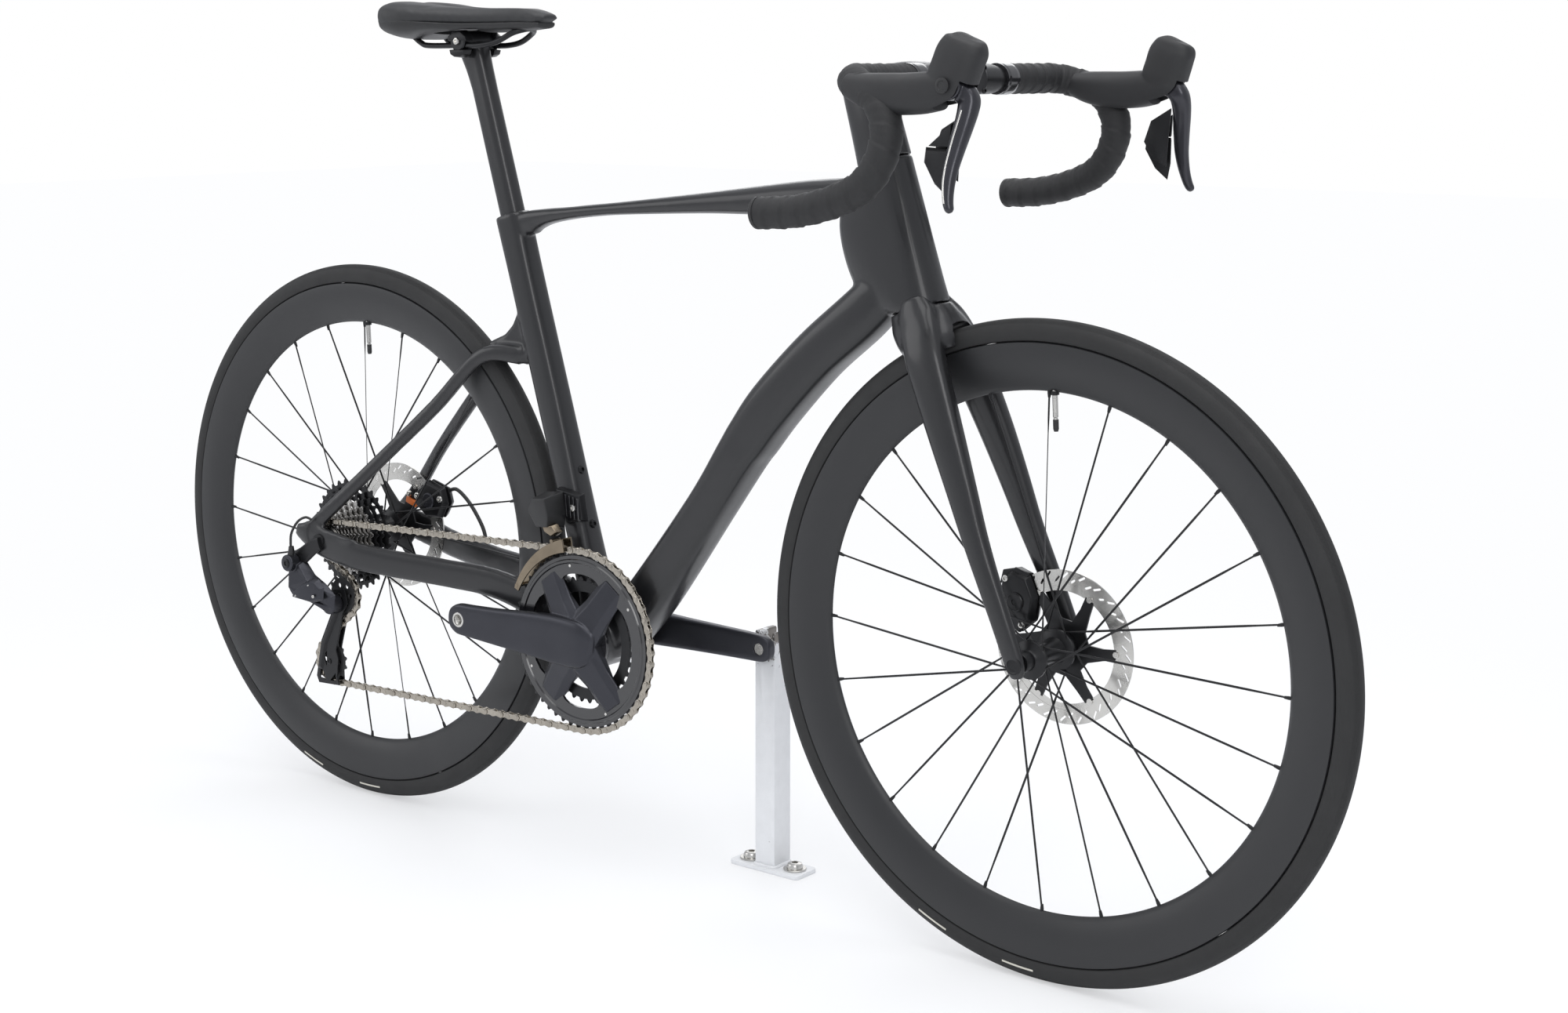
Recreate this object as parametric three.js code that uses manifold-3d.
// A road bicycle with disc brakes, held upright by a post that carries its left crank.
// Millimetres. +X is forward, +Y is the rider's left, +Z is up. The origin is on the floor,
// midway between the two wheels, in the bicycle's middle plane.
import * as THREE from 'three';
import { mergeVertices } from 'three/addons/utils/BufferGeometryUtils.js';
import Module from 'manifold-3d';

const wasm = await Module();
wasm.setup();

// ---------------------------------------------------------------- driving dimensions
const wheelbase = 1002;
const tyreRadius = 340;
const tyreWidth = 28;
const rimOuterRadius = 317;
const rimInnerRadius = 267;
const rimWidth = 27;
const bottomBracketDrop = 70;
const chainstayRun = 410;
const seatSlope = 0.297;
const headAngle = THREE.MathUtils.degToRad(73);
const forkOffset = 47;
const crownHeight = 370;
const headTubeLength = 158;
const steererRadius = 14.3;
const bearingRadius = 21;
const stemReach = 113;
const stemColumnHeight = 88;
const barHalfWidth = 205;
const barRadius = 13;
const tapeThickness = 3;
const frontHubWidth = 100;
const rearHubWidth = 142;
const axleRadius = 6;
const rotorRadius = 80;
const rotorThickness = 1.8;
const frontRotorY = 36;
const rearRotorY = 55;
const spokesPerSide = 12;
const wheelSegments = 48;
const crankLength = 172.5;
const crankTilt = THREE.MathUtils.degToRad(1.5);
const crankThickness = 13;
const crankHalfHeight = 15.5;
const eyeFaceY = 76;
const spindleRadius = 12;
const shellWidth = 86.5;
const shellRadius = 35;
const chainPitch = 12.7;
const outerTeeth = 52;
const innerTeeth = 36;
const smallCogTeeth = 11;
const cogCount = 12;
const cogSpacing = 3.45;
const pulleyTeeth = 13;
const outerRingY = -46.5;
const innerRingY = -40.5;
const smallCogY = -64;
const chainHalfWidth = 2.7;
const chainHalfHeight = 4;
const postDepth = 30;
const postWidth = 24;
const railRadius = 3.5;
const railSpacing = 22;
const standWidth = 28;
const standDepth = 30;
const standPlate = { length: 100, width: 40, thickness: 5 };
const eyeRadius = 7;
const gap = 0.3;
const runningGap = 0.6;

// ---------------------------------------------------------------- points worked out from them
// Bicycle coordinates start at the bottom bracket centre.
const pitchRadius = (teeth) => chainPitch / (2 * Math.sin(Math.PI / teeth));
const rearAxle = new THREE.Vector3(-chainstayRun, 0, bottomBracketDrop);
const frontAxle = new THREE.Vector3(wheelbase - chainstayRun, 0, bottomBracketDrop);
const steerUp = new THREE.Vector3(-Math.cos(headAngle), 0, Math.sin(headAngle));
const steerForward = new THREE.Vector3(Math.sin(headAngle), 0, Math.cos(headAngle));
const steerFoot = frontAxle.clone().addScaledVector(steerForward, -forkOffset);
const steerPoint = (along, ahead = 0, left = 0) => steerFoot.clone()
  .addScaledVector(steerUp, along).addScaledVector(steerForward, ahead).add(new THREE.Vector3(0, left, 0));
const headTopHeight = crownHeight + headTubeLength;
const seatPoint = (height, ahead = 0) => new THREE.Vector3(-4 - seatSlope * height + ahead, 0, height);
const crankEye = new THREE.Vector3(crankLength * Math.cos(crankTilt), 0, -crankLength * Math.sin(crankTilt));

// ---------------------------------------------------------------- solids
function closed(geometry) {
  const bare = geometry.clone();
  for (const name of Object.keys(bare.attributes)) {
    if (name !== 'position') bare.deleteAttribute(name);
  }
  return mergeVertices(bare, 1e-4);
}

function signedVolume(position, index) {
  const a = new THREE.Vector3();
  const b = new THREE.Vector3();
  const c = new THREE.Vector3();
  let sum = 0;
  for (let i = 0; i < index.length; i += 3) {
    a.fromArray(position, index[i] * 3);
    b.fromArray(position, index[i + 1] * 3);
    c.fromArray(position, index[i + 2] * 3);
    sum += a.dot(b.cross(c));
  }
  return sum / 6;
}

function solid(geometry) {
  const shape = closed(geometry);
  const position = Float32Array.from(shape.attributes.position.array);
  const index = [];
  const all = shape.index.array;
  for (let i = 0; i < all.length; i += 3) {
    const [a, b, c] = [all[i], all[i + 1], all[i + 2]];
    if (a !== b && b !== c && c !== a) index.push(a, b, c);
  }
  if (signedVolume(position, index) < 0) index.reverse();
  return new wasm.Manifold(new wasm.Mesh({
    numProp: 3, vertProperties: position, triVerts: Uint32Array.from(index),
  }));
}

function geometryOf(shape) {
  const { vertProperties, triVerts } = shape.getMesh();
  const geometry = new THREE.BufferGeometry();
  geometry.setAttribute('position', new THREE.BufferAttribute(Float32Array.from(vertProperties), 3));
  geometry.setIndex(new THREE.BufferAttribute(Uint32Array.from(triVerts), 1));
  geometry.computeVertexNormals();
  return geometry;
}

const joined = (...shapes) => shapes.reduce((sum, shape) => sum.add(shape));
const cut = (shape, ...tools) => tools.reduce((left, tool) => left.subtract(tool), shape);
const vector = (point) => (Array.isArray(point) ? new THREE.Vector3(...point) : point.clone());

// A skin drawn through a row of rounded sections. w is the half width along `side`; d and e are
// the depths to either hand of the path (behind and ahead on a path that climbs); n squares it.
function sweep(stations, { side = [0, 1, 0], sides = 12, grow = 0 } = {}) {
  const centres = stations.map((station) => vector(station.at));
  const across = vector(side);
  const position = [];
  const index = [];
  centres.forEach((centre, i) => {
    const before = centres[Math.max(i - 1, 0)];
    const after = centres[Math.min(i + 1, centres.length - 1)];
    const along = after.clone().sub(before).normalize();
    const wide = across.clone().addScaledVector(along, -across.dot(along)).normalize();
    const deep = along.clone().cross(wide);
    const { w, d, e = d, n = 2.5 } = stations[i];
    for (let k = 0; k < sides; k += 1) {
      const angle = ((k + 0.5) / sides) * Math.PI * 2;
      const c = Math.cos(angle);
      const s = Math.sin(angle);
      const u = Math.sign(c) * Math.abs(c) ** (2 / n) * (w + grow);
      const v = Math.sign(s) * Math.abs(s) ** (2 / n) * ((s > 0 ? d : e) + grow);
      position.push(...centre.clone().addScaledVector(wide, u).addScaledVector(deep, v).toArray());
    }
  });
  const last = centres.length - 1;
  for (let i = 0; i < last; i += 1) {
    for (let k = 0; k < sides; k += 1) {
      const a = i * sides + k;
      const b = i * sides + ((k + 1) % sides);
      index.push(a, b, b + sides, a, b + sides, a + sides);
    }
  }
  [0, last].forEach((i) => {
    const hub = position.length / 3;
    position.push(...centres[i].toArray());
    for (let k = 0; k < sides; k += 1) {
      const a = i * sides + k;
      const b = i * sides + ((k + 1) % sides);
      index.push(...(i === 0 ? [hub, b, a] : [hub, a, b]));
    }
  });
  const geometry = new THREE.BufferGeometry();
  geometry.setAttribute('position', new THREE.Float32BufferAttribute(position, 3));
  geometry.setIndex(index);
  return solid(geometry);
}

// A ring or disc turned about the Y axis from [radius, y] points.
function turned(points, segments = 32, at = [0, 0, 0]) {
  const profile = [...points, points[0]].map(([r, y]) => new THREE.Vector2(r, y));
  return solid(new THREE.LatheGeometry(profile, segments)).translate(vector(at).toArray());
}

const ring = (inner, outer, y0, y1, segments = 32, at = [0, 0, 0]) => turned(
  [[inner, y0], [outer, y0], [outer, y1], [inner, y1]], segments, at);

function rod(from, to, radius, sides = 16) {
  const a = vector(from);
  const axis = vector(to).sub(a);
  const geometry = new THREE.CylinderGeometry(radius, radius, axis.length(), sides);
  geometry.translate(0, axis.length() / 2, 0);
  geometry.applyQuaternion(new THREE.Quaternion().setFromUnitVectors(
    new THREE.Vector3(0, 1, 0), axis.normalize()));
  geometry.translate(a.x, a.y, a.z);
  return solid(geometry);
}

function wire(points, radius, sides = 8, steps = 24) {
  const path = new THREE.CatmullRomCurve3(points.map(vector), false, 'centripetal');
  const section = new THREE.Shape().absarc(0, 0, radius, 0, Math.PI * 2);
  return solid(new THREE.ExtrudeGeometry(section, {
    extrudePath: path, steps, curveSegments: sides, bevelEnabled: false,
  }));
}

function block(size, centre, tilt = 0) {
  const geometry = new THREE.BoxGeometry(...size);
  geometry.rotateY(tilt);
  geometry.translate(...vector(centre).toArray());
  return solid(geometry);
}

// A flat plate standing in the X-Z plane, between two values of y.
function plate(outline, y0, y1) {
  const shape = new THREE.Shape(outline.map(([x, z]) => new THREE.Vector2(x, z)));
  const geometry = new THREE.ExtrudeGeometry(shape, { depth: y1 - y0, bevelEnabled: false });
  geometry.rotateX(Math.PI / 2);
  geometry.translate(0, y1, 0);
  return solid(geometry);
}

const mirrored = (shape) => shape.mirror([0, 1, 0]);
const polar = (radius, degrees) => {
  const angle = THREE.MathUtils.degToRad(degrees);
  return [radius * Math.cos(angle), radius * Math.sin(angle)];
};

// ---------------------------------------------------------------- finishes
const finish = (color, roughness, metalness = 0) => ({ color, roughness, metalness });
const finishes = {
  paint: finish(0x18191c, 0.45, 0.1),
  gloss: finish(0x15161a, 0.25, 0.2),
  rim: finish(0x222427, 0.5, 0.1),
  tyre: finish(0x1c1c1d, 0.85),
  rubber: finish(0x1e1e20, 0.75),
  tape: finish(0x17171a, 0.7),
  crank: finish(0x2e3036, 0.4, 0.4),
  lever: finish(0x34353c, 0.35, 0.6),
  plastic: finish(0x131416, 0.55),
  steel: finish(0xb9b7ae, 0.3, 0.9),
  chain: finish(0xa8a291, 0.35, 0.8),
  spoke: finish(0x101113, 0.4, 0.6),
  cover: finish(0x26282c, 0.6),
  white: finish(0xe8eaee, 0.5),
};

const bicycle = new THREE.Group();
bicycle.position.set(chainstayRun - wheelbase / 2, 0, tyreRadius - bottomBracketDrop);
const stand = new THREE.Group();
const model = new THREE.Group();
model.add(bicycle, stand);

function piece(name, shape, look, parent = bicycle) {
  const mesh = new THREE.Mesh(geometryOf(shape), new THREE.MeshStandardMaterial(finishes[look]));
  mesh.name = name;
  parent.add(mesh);
  return mesh;
}

// ---------------------------------------------------------------- frame
const axisTube = (from, to, radius, sides = 20) => rod(steerPoint(from), steerPoint(to), radius, sides);

const headShape = (grow) => sweep([
  { at: steerPoint(crownHeight + gap - grow), w: 27, d: 34, e: 29, n: 2.4 },
  { at: steerPoint(crownHeight + 22), w: 26, d: 60, e: 28, n: 2.5 },
  { at: steerPoint(crownHeight + 60), w: 25, d: 70, e: 27, n: 2.5 },
  { at: steerPoint(headTopHeight - 50), w: 24, d: 66, e: 26.5, n: 2.5 },
  { at: steerPoint(headTopHeight + grow), w: 23.5, d: 32, e: 26, n: 2.4 },
], { grow, sides: 16 });

const seatDepth = 19;
const seatHalfWidth = 17;
const seatTubeTop = 484;
const seatShape = (grow) => sweep([
  { at: seatPoint(24), w: 26, d: 17, n: 2.6 },
  { at: seatPoint(90), w: 20, d: 17, n: 2.8 },
  { at: seatPoint(250), w: seatHalfWidth, d: seatDepth, n: 3 },
  { at: seatPoint(400), w: seatHalfWidth, d: seatDepth, n: 3 },
  { at: seatPoint(seatTubeTop), w: seatHalfWidth, d: seatDepth + 1, n: 3 },
], { grow, sides: 16 });

const postShape = (from, to, grow = 0) => sweep([
  { at: seatPoint(from), w: postWidth / 2, d: postDepth / 2, n: 2.8 },
  { at: seatPoint(to), w: postWidth / 2, d: postDepth / 2, n: 2.8 },
], { grow, sides: 16 });

const shellShape = (grow) => turned([
  [0, -shellWidth / 2 - grow], [shellRadius + grow, -shellWidth / 2 - grow],
  [shellRadius + grow, shellWidth / 2 + grow], [0, shellWidth / 2 + grow],
], 32);

const headRear = steerPoint(headTopHeight - 62, -50);
const headLowRear = steerPoint(crownHeight + 26, -28);
const topTubeStart = seatPoint(seatTubeTop - 6, 8);
const topTubeEnd = new THREE.Vector3(headRear.x + 30, 0, headRear.z + 37);
const topTubeBow = 5;
const topTubeAt = (share) => topTubeStart.clone().lerp(topTubeEnd, share)
  .add(new THREE.Vector3(0, 0, 4 * topTubeBow * share * (1 - share)));
const topTubeShape = (grow) => sweep([
  { at: topTubeStart, w: 14, d: 7, n: 3 },
  { at: topTubeAt(0.322), w: 15, d: 7.5, n: 3 },
  { at: topTubeAt(0.54), w: 17, d: 11.5, n: 2.6 },
  { at: topTubeAt(0.665), w: 19, d: 15, n: 2.6 },
  { at: topTubeAt(0.906), w: 21, d: 19, n: 2.6 },
  { at: topTubeEnd, w: 20, d: 18, n: 2.6 },
], { grow });

const towardsHead = (x, z) => [headLowRear.x * x, 0, headLowRear.z * z];
const downTubeShape = (grow) => sweep([
  { at: [headLowRear.x + 12, 0, headLowRear.z + 6], w: 22, d: 30, n: 3 },
  { at: towardsHead(0.896, 0.897), w: 25, d: 28, n: 3.2 },
  { at: towardsHead(0.628, 0.672), w: 25, d: 22, n: 3.4 },
  { at: towardsHead(0.388, 0.387), w: 26, d: 24, n: 3.4 },
  { at: towardsHead(0.176, 0.136), w: 29, d: 27, n: 3.2 },
  { at: towardsHead(0.035, -0.009), w: 33, d: 26, n: 3 },
], { grow });

const stayY = rearHubWidth / 2 + 6;
const wheelRoom = (centre, clearance, halfWidth) => ring(
  rimInnerRadius - 30, tyreRadius + clearance, -halfWidth, halfWidth, 48, centre);

const chainstayShape = (grow) => sweep([
  { at: [-12, -31, 2], w: 9, d: 20, n: 3 },
  { at: [-80, -29, 26], w: 8.5, d: 20, n: 3 },
  { at: [-150, -34, 44], w: 8, d: 18, n: 3 },
  { at: [-230, -46, 49], w: 8, d: 17, n: 3 },
  { at: [rearAxle.x + 100, -(stayY - 15), rearAxle.z - 17], w: 8, d: 17, n: 3 },
  { at: [rearAxle.x + 45, -(stayY - 3), rearAxle.z - 11], w: 6.5, d: 18, n: 3 },
  { at: [rearAxle.x - 4, -stayY, rearAxle.z - 1], w: 5.4, d: 19, n: 3 },
  { at: [rearAxle.x - 46, -stayY, rearAxle.z + 6], w: 5, d: 11, n: 2.4 },
], { grow });

const seatstayShape = (grow) => sweep([
  { at: [-118, -16, 318], w: 6, d: 9, n: 3 },
  { at: [-166, -22, 318], w: 6, d: 9, n: 3 },
  { at: [-196, -25, 303], w: 6, d: 9, n: 3 },
  { at: [-250, -31, 250], w: 6, d: 9, n: 3 },
  { at: [-322, -48, 184], w: 6, d: 8.5, n: 3 },
  { at: [rearAxle.x + 20, -(stayY - 8), rearAxle.z + 49], w: 6, d: 9, n: 3 },
  { at: [rearAxle.x - 28, -stayY, rearAxle.z + 6], w: 5, d: 10, n: 3 },
], { grow });

const dropoutBore = rod([rearAxle.x, -120, rearAxle.z], [rearAxle.x, 120, rearAxle.z], axleRadius + gap);
const bearingSeatLength = 8;
const headBore = joined(
  axisTube(crownHeight - 20, headTopHeight + 20, steererRadius + 3),
  axisTube(crownHeight - 1, crownHeight + bearingSeatLength, bearingRadius + gap),
  axisTube(headTopHeight - bearingSeatLength, headTopHeight + 1, bearingRadius + gap),
);
const postBore = postShape(200, seatTubeTop + 80, runningGap);
const shellBore = rod([0, -60, 0], [0, 60, 0], spindleRadius + 8.5, 24);

piece('head_tube', cut(headShape(0), headBore), 'paint');
piece('seat_tube', cut(seatShape(0), shellShape(gap), postBore,
  wheelRoom(rearAxle, 7, 60)), 'paint');
piece('bottom_bracket_shell', cut(shellShape(0), shellBore), 'paint');
piece('top_tube', cut(topTubeShape(0), headShape(gap), seatShape(gap), postBore), 'paint');
const crownRoom = axisTube(crownHeight - 90, crownHeight + 1, 54, 24);
piece('down_tube', cut(downTubeShape(0), headShape(gap), shellShape(gap), seatShape(gap), crownRoom),
  'paint');
const chainstay = cut(chainstayShape(0), shellShape(gap), seatShape(gap),
  wheelRoom(rearAxle, 8, tyreWidth / 2 + 4), dropoutBore);
const seatstay = cut(seatstayShape(0), seatShape(gap), chainstayShape(gap), dropoutBore,
  wheelRoom(rearAxle, 8, tyreWidth / 2 + 3));
piece('chainstay_right', chainstay, 'paint');
piece('chainstay_left', mirrored(chainstay), 'paint');
piece('seatstay_right', seatstay, 'paint');
piece('seatstay_left', mirrored(seatstay), 'paint');

const headBearing = (from, to) => cut(axisTube(from, to, bearingRadius),
  axisTube(from - 1, to + 1, steererRadius + gap));
piece('headset_bearing_lower', headBearing(crownHeight + gap, crownHeight + bearingSeatLength - gap), 'steel');
piece('headset_bearing_upper', headBearing(headTopHeight - bearingSeatLength + gap, headTopHeight - gap), 'steel');
const cupOuter = spindleRadius + 8.5 - gap;
piece('bottom_bracket_bearing_right', ring(spindleRadius + gap, cupOuter, -42, -30, 24), 'plastic');
piece('bottom_bracket_bearing_left', ring(spindleRadius + gap, cupOuter, 30, 42, 24), 'plastic');

const rearAxleBar = rod([rearAxle.x, -(stayY + 11), rearAxle.z], [rearAxle.x, stayY + 5, rearAxle.z],
  axleRadius);
piece('rear_thru_axle', rearAxleBar, 'plastic');

// ---------------------------------------------------------------- wheels
// Each wheel is drawn about its own axle, which lies along Y.
function tyreShape() {
  const half = tyreWidth / 2;
  const wall = 2.6;
  const seat = rimOuterRadius + gap;
  const crown = tyreRadius;
  return turned([
    [seat, -half + 3.5], [seat + 8, -half], [crown - 8, -half + 2.5], [crown, -3.5], [crown, 3.5],
    [crown - 8, half - 2.5], [seat + 8, half], [seat, half - 3.5],
    [seat, half - 3.5 - wall], [crown - 8, half - 3.5 - wall], [crown - 8, -half + 3.5 + wall],
    [seat, -half + 3.5 + wall],
  ], wheelSegments);
}

function rimShape() {
  const half = rimWidth / 2;
  const wall = 2.4;
  const bed = rimInnerRadius;
  return turned([
    [rimOuterRadius, -half + 1.5], [rimOuterRadius - 14, -half], [bed + 16, -9.5], [bed, -3], [bed, 3],
    [bed + 16, 9.5], [rimOuterRadius - 14, half], [rimOuterRadius, half - 1.5],
    [rimOuterRadius, half - 1.5 - wall], [bed + 18, 9.5 - wall], [bed + 18, -9.5 + wall],
    [rimOuterRadius, -half + 1.5 + wall],
  ], wheelSegments);
}

// The hub shell with its laced spokes. Every second spoke leads and every other trails.
function hubShape({ width, driveFlange, rotorFlange, driveRadius, flangeRadius, rotorY }) {
  const bore = axleRadius + runningGap;
  const end = width / 2 - gap;
  const shell = turned([
    [bore, -end], [bore + 3.5, -end], [bore + 3.5, driveFlange - 4], [driveRadius, driveFlange - 2.5],
    [driveRadius, driveFlange + 2.5], [12, driveFlange + 8], [12, rotorFlange - 8],
    [flangeRadius, rotorFlange - 2.5], [flangeRadius, rotorFlange + 2.5], [16, rotorFlange + 5],
    [16, rotorY + 3], [bore + 3.5, rotorY + 5], [bore + 3.5, end], [bore, end],
  ], 12);
  const spokes = [];
  const step = 360 / (2 * spokesPerSide);
  for (let k = 0; k < 2 * spokesPerSide; k += 1) {
    const onDriveSide = k % 2 === 0;
    const lead = k % 4 < 2 ? 62 : -62;
    const y = onDriveSide ? driveFlange : rotorFlange;
    const holeRadius = (onDriveSide ? driveRadius : flangeRadius) - 3;
    const [hx, hz] = polar(holeRadius, k * step + lead);
    const [rx, rz] = polar(rimInnerRadius - gap, k * step);
    spokes.push(rod([hx, y, hz], [rx, 0, rz], 1.1, 3));
  }
  return joined(shell, ...spokes);
}

function rotorShape(y) {
  const half = rotorThickness / 2;
  const armRoot = 16 + gap;
  const band = ring(rotorRadius - 15, rotorRadius, y - half, y + half, 30);
  const collar = ring(armRoot, 24, y - half, y + half, 16);
  const arms = [];
  for (let k = 0; k < 6; k += 1) {
    const turn = k * 60;
    const [ax, az] = polar(22, turn - 25);
    const [bx, bz] = polar(24, turn);
    const [cx, cz] = polar(rotorRadius - 13, turn + 12);
    const [dx, dz] = polar(rotorRadius - 13, turn + 4);
    arms.push(plate([[ax, az], [dx, dz], [cx, cz], [bx, bz]], y - half, y + half));
  }
  return joined(band, collar, ...arms);
}

function wheel(name, axle, hub) {
  const group = new THREE.Group();
  group.position.copy(axle);
  bicycle.add(group);
  piece(`${name}_tyre`, tyreShape(), 'tyre', group);
  piece(`${name}_rim`, rimShape(), 'rim', group);
  piece(`${name}_hub_and_spokes`, hubShape(hub), 'spoke', group);
  piece(`${name}_brake_rotor`, rotorShape(hub.rotorY), 'steel', group);
  return group;
}

wheel('rear', rearAxle, {
  width: rearHubWidth - 20, driveFlange: -18, rotorFlange: 38, driveRadius: 27, flangeRadius: 22,
  rotorY: rearRotorY,
});
wheel('front', frontAxle, {
  width: frontHubWidth, driveFlange: -30, rotorFlange: 20, driveRadius: 20, flangeRadius: 22,
  rotorY: frontRotorY,
});

// ---------------------------------------------------------------- cassette
const cogTeeth = [11, 12, 13, 14, 15, 17, 19, 21, 24, 27, 30, 34];
const drive = new THREE.Group();
drive.position.copy(rearAxle);
bicycle.add(drive);
const bandInner = (teeth) => pitchRadius(teeth) - chainHalfHeight - runningGap;
const cogRadius = (i) => (i === 0 ? bandInner(smallCogTeeth) : pitchRadius(cogTeeth[i]) + 2);
const cassetteProfile = [[11, smallCogY - 2], [cogRadius(0), smallCogY - 2]];
for (let i = 1; i < cogCount; i += 1) {
  const edge = smallCogY + (i - 0.5) * cogSpacing;
  const start = i === 1 ? smallCogY + chainHalfWidth + 1.2 : edge;
  cassetteProfile.push([cogRadius(i - 1), start], [cogRadius(i), start]);
}
const cassetteEnd = smallCogY + (cogCount - 1) * cogSpacing + 1.2;
cassetteProfile.push([cogRadius(cogCount - 1), cassetteEnd], [11, cassetteEnd]);
piece('cassette', turned(cassetteProfile, 24), 'steel', drive);

// ---------------------------------------------------------------- crankset
// The crank's own group turns about the bottom bracket; the right arm carries the spindle.
const eyeRight = [-crankEye.x, -(eyeFaceY - crankThickness / 2), -crankEye.z];
const armStations = (sign) => [
  { at: [-12 * sign, 57 * sign, 0], w: 6, d: 20, n: 3 },
  { at: [eyeRight[0] * -0.25 * sign, 59 * sign, crankEye.z * 0.25 * sign], w: 6.2, d: 20, n: 3 },
  { at: [eyeRight[0] * -0.6 * sign, 65 * sign, crankEye.z * 0.6 * sign], w: 6.4, d: 18, n: 3 },
  { at: [eyeRight[0] * -0.87 * sign, 69 * sign, crankEye.z * 0.87 * sign], w: 6.5, d: 16, n: 3 },
  { at: [eyeRight[0] * -1 * sign, 69.5 * sign, crankEye.z * sign], w: 6.5, d: crankHalfHeight, n: 3 },
];
const eyeY = [eyeFaceY - crankThickness, eyeFaceY];
function armShape(sign) {
  const [ex, ez] = [crankEye.x * sign, crankEye.z * sign];
  const eye = rod([ex, eyeY[0] * sign, ez], [ex, eyeY[1] * sign, ez], crankHalfHeight, 24);
  const bore = rod([ex, (eyeY[0] - 5) * sign, ez], [ex, (eyeY[1] + 5) * sign, ez], eyeRadius, 20);
  return { arm: joined(sweep(armStations(sign)), eye), bore };
}
const spindle = rod([0, -62, 0], [0, 62, 0], spindleRadius, 20);
const spiderY = [outerRingY - 5.5, outerRingY - 1.5 - gap];
const spiderArms = [58, 128, -62, -128].map((angle) => {
  const [ax, az] = polar(16, angle - 60);
  const [bx, bz] = polar(16, angle + 60);
  const [cx, cz] = polar(84, angle + 9);
  const [dx, dz] = polar(84, angle - 9);
  return plate([[ax, az], [dx, dz], [cx, cz], [bx, bz]], spiderY[0], spiderY[1]);
});
const hubRight = rod([0, -63.5, 0], [0, spiderY[1], 0], 21, 28);
const right = armShape(-1);
piece('crank_arm_right', cut(joined(right.arm, hubRight, spindle, ...spiderArms), right.bore), 'crank');
const left = armShape(1);
const hubLeft = rod([0, 51, 0], [0, 63.5, 0], 19, 28);
const spindleBore = rod([0, 40, 0], [0, 62 + gap, 0], spindleRadius + gap, 24);
piece('crank_arm_left', cut(joined(left.arm, hubLeft), left.bore, spindleBore), 'crank');
piece('chainring_outer', ring(66, bandInner(outerTeeth), outerRingY - 1.5, outerRingY + 1.5, 40), 'gloss');
piece('chainring_inner', ring(58, pitchRadius(innerTeeth) + 2, innerRingY - 1.2, innerRingY + 1.2, 30), 'plastic');
const studEnd = eyeFaceY + 2.5 + standDepth - 4;
piece('pedal_eye_stud', joined(
  rod([crankEye.x, eyeY[0] + 1, crankEye.z], [crankEye.x, studEnd, crankEye.z], eyeRadius - gap, 20),
  rod([crankEye.x, eyeFaceY + gap, crankEye.z], [crankEye.x, eyeFaceY + 2, crankEye.z], 10, 20),
), 'steel');

// ---------------------------------------------------------------- chain and rear derailleur
const guide = { x: rearAxle.x + 23, z: rearAxle.z - 68 };
const tension = { x: rearAxle.x + 1, z: rearAxle.z - 155 };
const runs = [
  { x: 0, z: 0, y: outerRingY, radius: pitchRadius(outerTeeth), turn: 1 },
  { x: rearAxle.x, z: rearAxle.z, y: smallCogY, radius: pitchRadius(smallCogTeeth), turn: 1 },
  { ...guide, y: smallCogY, radius: pitchRadius(pulleyTeeth), turn: -1 },
  { ...tension, y: smallCogY, radius: pitchRadius(pulleyTeeth), turn: 1 },
];

// The heading of the straight run that leaves wheel a and meets wheel b.
function heading(a, b) {
  const dx = b.x - a.x;
  const dz = b.z - a.z;
  const lean = (b.turn * b.radius - a.turn * a.radius) / Math.hypot(dx, dz);
  return Math.atan2(dz, dx) - Math.asin(lean);
}

function chainPath() {
  const path = [];
  runs.forEach((wheelHere, i) => {
    const arrive = heading(runs[(i + runs.length - 1) % runs.length], wheelHere);
    let leave = heading(wheelHere, runs[(i + 1) % runs.length]);
    while (wheelHere.turn * (leave - arrive) < 0) leave += wheelHere.turn * Math.PI * 2;
    const sweepAngle = leave - arrive;
    const count = Math.ceil(Math.abs(sweepAngle) / (wheelHere.radius > 60 ? 0.2 : 0.4));
    for (let k = 0; k <= count; k += 1) {
      const facing = arrive + (sweepAngle * k) / count;
      const out = [Math.sin(facing) * wheelHere.turn, -Math.cos(facing) * wheelHere.turn];
      path.push({
        at: [wheelHere.x + out[0] * wheelHere.radius, wheelHere.y, wheelHere.z + out[1] * wheelHere.radius],
        out: [Math.sin(facing), -Math.cos(facing)],
      });
    }
  });
  return path;
}

function loopBand(path, halfWidth, halfHeight) {
  const position = [];
  const index = [];
  path.forEach(({ at, out }) => {
    [[-1, -1], [1, -1], [1, 1], [-1, 1]].forEach(([across, high]) => position.push(
      at[0] + out[0] * high * halfHeight, at[1] + across * halfWidth, at[2] + out[1] * high * halfHeight));
  });
  path.forEach((_, i) => {
    for (let k = 0; k < 4; k += 1) {
      const a = i * 4 + k;
      const b = i * 4 + ((k + 1) % 4);
      const c = ((i + 1) % path.length) * 4 + ((k + 1) % 4);
      const d = ((i + 1) % path.length) * 4 + k;
      index.push(a, b, c, a, c, d);
    }
  });
  const geometry = new THREE.BufferGeometry();
  geometry.setAttribute('position', new THREE.Float32BufferAttribute(position, 3));
  geometry.setIndex(index);
  return solid(geometry);
}

piece('chain', loopBand(chainPath(), chainHalfWidth, chainHalfHeight), 'chain');

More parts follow.
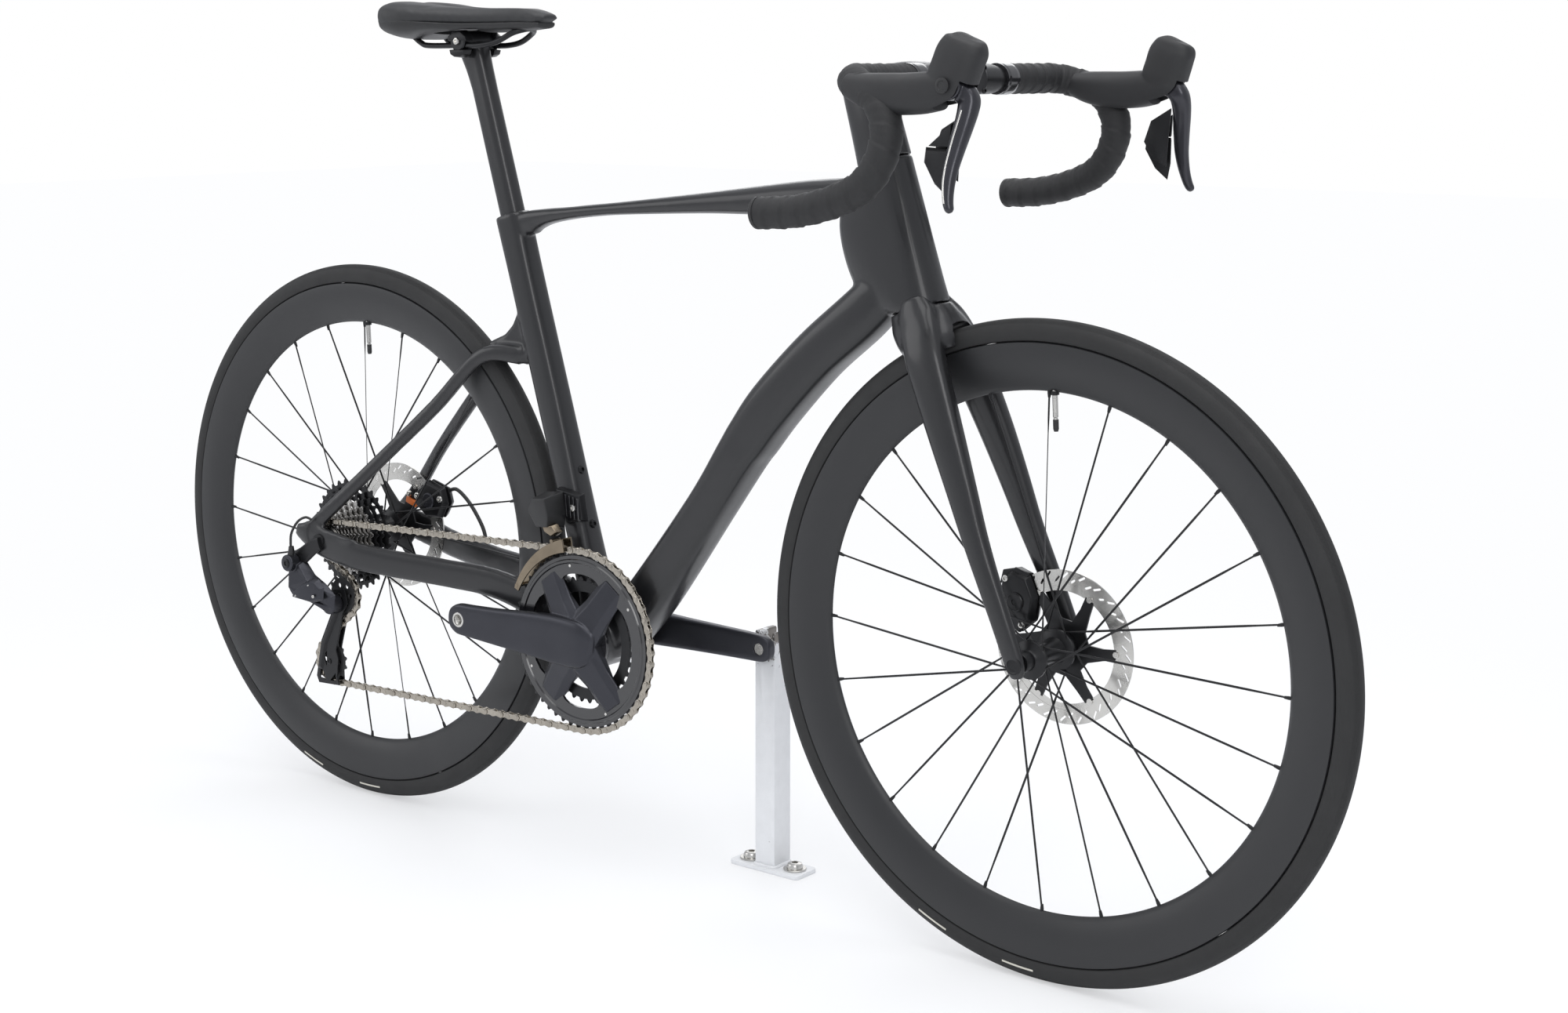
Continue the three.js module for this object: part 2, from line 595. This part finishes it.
const cagePlates = [smallCogY - 6, smallCogY + 4.5];
const cageOutline = [
  [guide.x + 8, guide.z + 9], [guide.x - 12, guide.z + 6], [guide.x - 14, guide.z - 20],
  [tension.x - 14, tension.z + 25], [tension.x - 22, tension.z - 20], [tension.x - 18, tension.z - 30],
  [tension.x + 16, tension.z - 28], [tension.x + 12, tension.z + 16], [guide.x + 4, guide.z - 22],
  [guide.x + 12, guide.z - 8],
];
const pulleyBolt = (at, grow = 0) => rod([at.x, cagePlates[0], at.z], [at.x, cagePlates[1] + 1.5, at.z], 3 + grow, 12);
piece('rear_derailleur_cage', joined(
  ...cagePlates.map((y) => plate(cageOutline, y, y + 1.5)), pulleyBolt(guide), pulleyBolt(tension),
), 'plastic');
const pulleyShape = ring(3 + gap, bandInner(pulleyTeeth), -1.3, 1.3, 16);
[['guide_pulley', guide], ['tension_pulley', tension]].forEach(([name, at]) => {
  piece(name, pulleyShape.translate([at.x, smallCogY, at.z]), 'plastic');
});

const hangerBolt = { x: rearAxle.x - 39, z: rearAxle.z - 30 };
const cagePivot = { x: guide.x - 6, z: guide.z - 10 };
const hangerY = -(stayY + 11);
piece('derailleur_hanger', cut(joined(
  plate([[rearAxle.x + 10, rearAxle.z + 4], [rearAxle.x - 6, rearAxle.z + 11], [hangerBolt.x - 9, hangerBolt.z + 8],
    [hangerBolt.x - 7, hangerBolt.z - 8], [hangerBolt.x + 8, hangerBolt.z - 8], [rearAxle.x + 9, rearAxle.z - 9]],
  hangerY, hangerY + 4.5),
  rod([hangerBolt.x, hangerY + 4, hangerBolt.z], [hangerBolt.x, hangerY - 11, hangerBolt.z], 6, 20),
), rod([rearAxle.x, hangerY - 5, rearAxle.z], [rearAxle.x, hangerY + 10, rearAxle.z], axleRadius + gap)), 'gloss');
piece('rear_derailleur_body', cut(joined(
  rod([hangerBolt.x, hangerY - gap, hangerBolt.z], [hangerBolt.x, hangerY - 14, hangerBolt.z], 11, 20),
  sweep([
    { at: [hangerBolt.x - 4, hangerY - 8, hangerBolt.z - 6], w: 6, d: 9 },
    { at: [hangerBolt.x - 2, hangerY - 8, hangerBolt.z - 24], w: 8, d: 10 },
    { at: [hangerBolt.x + 16, hangerY - 2, hangerBolt.z - 34], w: 10, d: 13 },
    { at: [cagePivot.x - 16, hangerY + 4, cagePivot.z + 2], w: 10, d: 15 },
    { at: [cagePivot.x, cagePlates[0] - 8, cagePivot.z], w: 7, d: 13 },
  ]),
  rod([cagePivot.x, cagePlates[0] - gap, cagePivot.z], [cagePivot.x, cagePlates[0] - 15, cagePivot.z], 12, 20),
), rod([hangerBolt.x, hangerY + 5, hangerBolt.z], [hangerBolt.x, hangerY - 11 - gap, hangerBolt.z], 6 + gap, 20)),
'crank');
piece('rear_derailleur_wire', wire([
  [rearAxle.x - 12, -84, rearAxle.z + 26], [rearAxle.x - 26, -89, rearAxle.z + 25],
  [rearAxle.x - 38, -93, rearAxle.z + 10], [hangerBolt.x + 2, -95, hangerBolt.z + 20],
  [hangerBolt.x + 2, -95, hangerBolt.z + 12.5],
], 1.5, 2, 10), 'plastic');

// ---------------------------------------------------------------- front derailleur
const motorY = [-58, -seatHalfWidth - 9];
piece('front_derailleur_body', cut(joined(
  plate([[-60, 172], [-18, 167], [-12, 133], [-38, 128], [-60, 140]], motorY[1] - 1, motorY[1] + 8),
  plate([[-80, 146], [-70, 164], [-44, 166], [-38, 140], [-42, 122], [-70, 120]], motorY[0], motorY[1]),
), seatShape(gap)), 'plastic');
const cageBand = (y0, y1) => {
  const outline = [];
  for (let k = 0; k <= 6; k += 1) outline.push(polar(104, 100 + k * 9));
  for (let k = 6; k >= 0; k -= 1) outline.push(polar(123 - k * 1.5, 100 + k * 9));
  return plate(outline, y0, y1);
};
const cageOuterY = -54.5;
const cageInnerY = -42;
const cageBridge = (degrees, radius, thick) => {
  const [x, z] = polar(radius, degrees);
  return rod([x, cageOuterY, z], [x, cageInnerY + 1.5, z], thick, 12);
};
piece('front_derailleur_cage', joined(
  cageBand(cageOuterY, cageOuterY + 1.5), cageBand(cageInnerY, cageInnerY + 1.5),
  cageBridge(109, 119.5, 2.5), cageBridge(151, 111, 2.5),
), 'steel');

// ---------------------------------------------------------------- rear brake
function caliperShape(centre, size, tilt, rotorY, lean) {
  const body = block(size, centre, tilt);
  const slot = ring(30, rotorRadius + 3, rotorY - 2.2, rotorY + 2.2, 40, lean);
  return cut(body, slot);
}
piece('rear_brake_caliper', cut(
  caliperShape([rearAxle.x + 66, rearRotorY, rearAxle.z + 34], [52, 22, 36], 0.45, rearRotorY, rearAxle),
  mirrored(chainstayShape(gap)), mirrored(seatstayShape(gap)),
), 'plastic');

// ---------------------------------------------------------------- fork and headset
const tipY = frontHubWidth / 2 + 7;
const legStations = (grow = 0) => sweep([
  { at: [frontAxle.x - 150, -20, frontAxle.z + 326], w: 13, d: 19, n: 2.6 },
  { at: [frontAxle.x - 122, -37, frontAxle.z + 289], w: 13, d: 20, n: 2.6 },
  { at: [frontAxle.x - 93, -44, frontAxle.z + 220], w: 12, d: 17, n: 2.6 },
  { at: [frontAxle.x - 50, -(tipY - 5), frontAxle.z + 113], w: 9.5, d: 11.5, n: 2.6 },
  { at: [frontAxle.x - 20, -(tipY - 1), frontAxle.z + 46], w: 6.5, d: 9.5, n: 2.6 },
  { at: [frontAxle.x - 1, -tipY, frontAxle.z], w: 6, d: 11, n: 2.6 },
  { at: [frontAxle.x + 2, -tipY, frontAxle.z - 12], w: 5, d: 9, n: 2.6 },
], { grow });
const crown = sweep([
  { at: steerPoint(crownHeight - 42), w: 40, d: 28, e: 50, n: 2.6 },
  { at: steerPoint(crownHeight - 22), w: 38, d: 33, e: 43, n: 2.6 },
  { at: steerPoint(crownHeight - gap), w: 28, d: 34, e: 32, n: 2.4 },
], { sides: 16 });
const frontAxleBore = rod([frontAxle.x, -80, frontAxle.z], [frontAxle.x, 80, frontAxle.z], axleRadius + gap);
const steerer = axisTube(crownHeight - 5, headTopHeight + 50, steererRadius);
piece('fork', cut(joined(crown, legStations(), mirrored(legStations()), steerer),
  wheelRoom(frontAxle, 5, tyreWidth / 2 + 4.5), frontAxleBore), 'paint');
piece('front_thru_axle', rod([frontAxle.x, -(tipY + 5.5), frontAxle.z],
  [frontAxle.x, tipY + 5.5, frontAxle.z], axleRadius), 'plastic');
piece('front_brake_caliper', cut(
  caliperShape([frontAxle.x - 50, frontRotorY + 0.5, frontAxle.z + 42], [34, 21, 62], -0.35, frontRotorY, frontAxle),
  mirrored(legStations(gap)),
), 'plastic');

// ---------------------------------------------------------------- stem, bar, tape
const barCentre = steerPoint(headTopHeight + stemColumnHeight, 0).add(new THREE.Vector3(stemReach, 0, 0));
const bx = barCentre.x;
const bz = barCentre.z;
const column = sweep([
  { at: steerPoint(headTopHeight + gap), w: 23, d: 31, e: 26, n: 2.4 },
  { at: steerPoint(headTopHeight + 50), w: 22, d: 30, e: 24, n: 2.4 },
  { at: steerPoint(headTopHeight + stemColumnHeight + 12), w: 20, d: 28, e: 24, n: 2.6 },
], { sides: 16 });
const reachArm = sweep([
  { at: steerPoint(headTopHeight + stemColumnHeight - 6, -12), w: 18, d: 16, n: 3 },
  { at: [bx - 30, 0, bz - 1], w: 20, d: 17, n: 3 },
  { at: [bx + 17, 0, bz], w: 22, d: 18, n: 3 },
]);
const clampRadius = 15.9;
const steererBore = axisTube(headTopHeight - 5, headTopHeight + 50 + gap, steererRadius + gap);
piece('stem', cut(joined(column, reachArm), steererBore,
  rod([bx, -60, bz], [bx, 60, bz], clampRadius + gap, 24)), 'paint');

const dropPath = (side) => [
  [bx, 60, bz], [bx, barHalfWidth - 50, bz], [bx + 3, barHalfWidth - 24, bz], [bx + 20, barHalfWidth - 6, bz - 5],
  [bx + 48, barHalfWidth + 2, bz - 18], [bx + 61, barHalfWidth + 6, bz - 44], [bx + 57, barHalfWidth + 9, bz - 72],
  [bx + 38, barHalfWidth + 12, bz - 98], [bx + 5, barHalfWidth + 15, bz - 114],
  [bx - 37, barHalfWidth + 17, bz - 124], [bx - 79, barHalfWidth + 18, bz - 127],
].map(([x, y, z]) => [x, y * side, z]);
// Hood and lever profiles are [x, z] from the bar's centre; y is the distance from the middle plane.
const hoodAt = (x, y, z) => [bx + x, y, bz + z];
const gripY = barHalfWidth - 3;
const pivot = { x: bx + 127, z: bz - 4 };
const leverStations = [
  { at: hoodAt(127, gripY - 2, -4), w: 9, d: 12, n: 3 },
  { at: hoodAt(142, gripY - 5, -14), w: 9, d: 10, n: 3 },
  { at: hoodAt(143, gripY, -38), w: 8, d: 8, n: 3 },
  { at: hoodAt(138, gripY + 6, -66), w: 6.5, d: 6.5, n: 3 },
  { at: hoodAt(139, gripY + 12, -94), w: 5.5, d: 5.5, n: 2.6 },
  { at: hoodAt(143, gripY + 17, -120), w: 4.5, d: 4, n: 2.4 },
];
const leverShape = joined(rod([pivot.x, gripY - 11, pivot.z], [pivot.x, gripY + 9, pivot.z], 14, 20),
  sweep(leverStations, { sides: 10 }));
const leverPocket = joined(
  rod([pivot.x, gripY - 11.6, pivot.z], [pivot.x, gripY + 9.6, pivot.z], 14 + runningGap, 20),
  plate([[pivot.x - 14, pivot.z - 2], [pivot.x - 9, pivot.z - 56], [pivot.x + 38, pivot.z - 56],
    [pivot.x + 38, pivot.z - 10], [pivot.x + 12, pivot.z + 6]], gripY - 15, gripY + 11),
);
const coverShape = sweep([
  { at: hoodAt(18, gripY - 2, -6), w: 19, d: 13, e: 13, n: 2.6 },
  { at: hoodAt(50, gripY, -10), w: 20, d: 19, e: 20, n: 2.6 },
  { at: hoodAt(90, gripY, -12), w: 18, d: 22, e: 19, n: 2.6 },
  { at: hoodAt(116, gripY - 2, -2), w: 18, d: 25, e: 23, n: 2.6 },
  { at: hoodAt(134, gripY - 5, 14), w: 17, d: 25, e: 22, n: 2.5 },
  { at: hoodAt(148, gripY - 7, 33), w: 14, d: 14, e: 14, n: 2.3 },
  { at: hoodAt(153, gripY - 8, 43), w: 8, d: 6, e: 6, n: 2.2 },
], { sides: 14 });
const barPath = (radius) => wire(dropPath(1), radius, 3, 26);
const tapeRadius = barRadius + tapeThickness;
const hoodShape = cut(coverShape, barPath(tapeRadius + gap), leverPocket);
const barEnds = dropPath(1).slice(-2);
const pastEnd = barEnds[1].map((value, i) => value + (value - barEnds[0][i]) * 0.1);
const tape = cut(barPath(tapeRadius), barPath(barRadius + gap), rod(barEnds[1], pastEnd, barRadius, 12),
  rod([bx, 0, bz], [bx, 71, bz], 40, 16));
piece('handlebar', joined(rod([bx, -70, bz], [bx, 70, bz], clampRadius, 24),
  barPath(barRadius - gap), mirrored(barPath(barRadius - gap))), 'plastic');
piece('bar_tape_right', mirrored(tape), 'tape');
piece('bar_tape_left', tape, 'tape');
piece('hood_right', mirrored(hoodShape), 'rubber');
piece('hood_left', hoodShape, 'rubber');

const shiftUpper = plate([[bx + 127, bz - 38], [bx + 130, bz - 60], [bx + 111, bz - 57]], gripY + 2, gripY + 7);
const shiftLower = plate([[bx + 129.5, bz - 62], [bx + 131, bz - 96], [bx + 116, bz - 104], [bx + 109, bz - 59]],
  gripY + 4, gripY + 9);
piece('brake_lever_right', mirrored(leverShape), 'lever');
piece('brake_lever_left', leverShape, 'lever');
piece('shift_button_upper_right', mirrored(shiftUpper), 'plastic');
piece('shift_button_upper_left', shiftUpper, 'plastic');
piece('shift_button_lower_right', mirrored(shiftLower), 'plastic');
piece('shift_button_lower_left', shiftLower, 'plastic');

// ---------------------------------------------------------------- seat post and saddle
const clampCentre = { x: -207, z: 687 };
const clampBarrelRadius = 12;
const postHeadTop = clampCentre.z - 9;
const cradle = rod([clampCentre.x, -40, clampCentre.z], [clampCentre.x, 40, clampCentre.z],
  clampBarrelRadius + runningGap, 24);
piece('seatpost', cut(joined(
  postShape(seatTubeTop - 190, postHeadTop - 40),
  sweep([
    { at: seatPoint(postHeadTop - 45), w: postWidth / 2, d: postDepth / 2, n: 2.8 },
    { at: seatPoint(postHeadTop - 20), w: postWidth / 2, d: postDepth / 2 + 3, e: postDepth / 2, n: 2.8 },
    { at: seatPoint(postHeadTop), w: postWidth / 2, d: 22, e: postDepth / 2 + 1, n: 3 },
  ], { sides: 16 }),
), cradle), 'paint');

const saddleX = clampCentre.x;
const railZ = clampCentre.z - 5;
const railPath = [
  [saddleX - 80, railSpacing + 2, railZ + 13], [saddleX - 66, railSpacing, railZ + 3],
  [saddleX - 52, railSpacing, railZ], [saddleX, railSpacing, railZ], [saddleX + 30, railSpacing, railZ],
  [saddleX + 56, railSpacing - 3, railZ + 4], [saddleX + 78, railSpacing - 7, railZ + 14],
  [saddleX + 88, 8, railZ + 18], [saddleX + 90, 0, railZ + 19],
];
const mirrorPoint = ([x, y, z]) => [x, -y, z];
const railLoop = [...railPath, ...railPath.slice(0, -1).reverse().map(mirrorPoint)];
const railWire = (radius) => wire(railLoop, radius, 2, 44);
const saddleStations = [
  [-113, 48, 6, 10, 728], [-101, 66, 10, 16, 722], [-73, 71, 13, 18, 718], [-33, 62, 12, 12, 715],
  [7, 47, 11, 10, 714], [44, 35, 10, 9, 714], [87, 25, 9, 8, 714.5], [117, 19.5, 6, 6, 714],
  [128, 13, 4, 4, 715],
];
const cushion = (grow = 0) => sweep(saddleStations.map(
  ([x, w, d, e, z]) => ({ at: [saddleX + x, 0, z], w, d, e, n: 2.6 })), { grow, sides: 20 });
const tray = sweep(saddleStations.slice(1, -1).map(
  ([x, w, d, e, z]) => ({ at: [saddleX + x, 0, z - 7], w: w - 5, d: 2, e: e - 1, n: 2.8 })), { sides: 16 });
piece('saddle_rails', railWire(railRadius), 'plastic');
const clampRoom = block([64, 68, 40], [saddleX, 0, clampCentre.z + clampBarrelRadius - 16]);
piece('saddle_shell', cut(tray, cushion(gap), railWire(railRadius + gap), clampRoom), 'plastic');
piece('saddle_cover', cushion(), 'cover');
const railSlot = (side) => rod([clampCentre.x - 30, railSpacing * side, railZ],
  [clampCentre.x + 30, railSpacing * side, railZ], railRadius + gap, 16);
piece('saddle_clamp', cut(rod([clampCentre.x, -30, clampCentre.z], [clampCentre.x, 30, clampCentre.z],
  clampBarrelRadius, 24), railSlot(1), railSlot(-1)), 'plastic');

// ---------------------------------------------------------------- stand, in floor coordinates
const eye = crankEye.clone().add(bicycle.position);
const standX = eye.x - 2.4;
const standFace = eyeFaceY + 2.5;
const standY = standFace + standDepth / 2;
const notchHalf = eyeRadius + 1.4;
const notchFloor = eye.z - eyeRadius + gap - 0.6;
const standTop = 283;
piece('stand_base_plate', block([standPlate.length, standPlate.width, standPlate.thickness],
  [standX + 2, standY - 2, standPlate.thickness / 2]), 'white', stand);
const postFoot = standPlate.thickness + gap;
piece('stand_post', cut(
  block([standWidth, standDepth, standTop - postFoot], [standX, standY, (standTop + postFoot) / 2]),
  block([notchHalf * 2, standDepth + 10, standTop], [eye.x, standY, notchFloor + standTop / 2]),
), 'white', stand);

export default model;
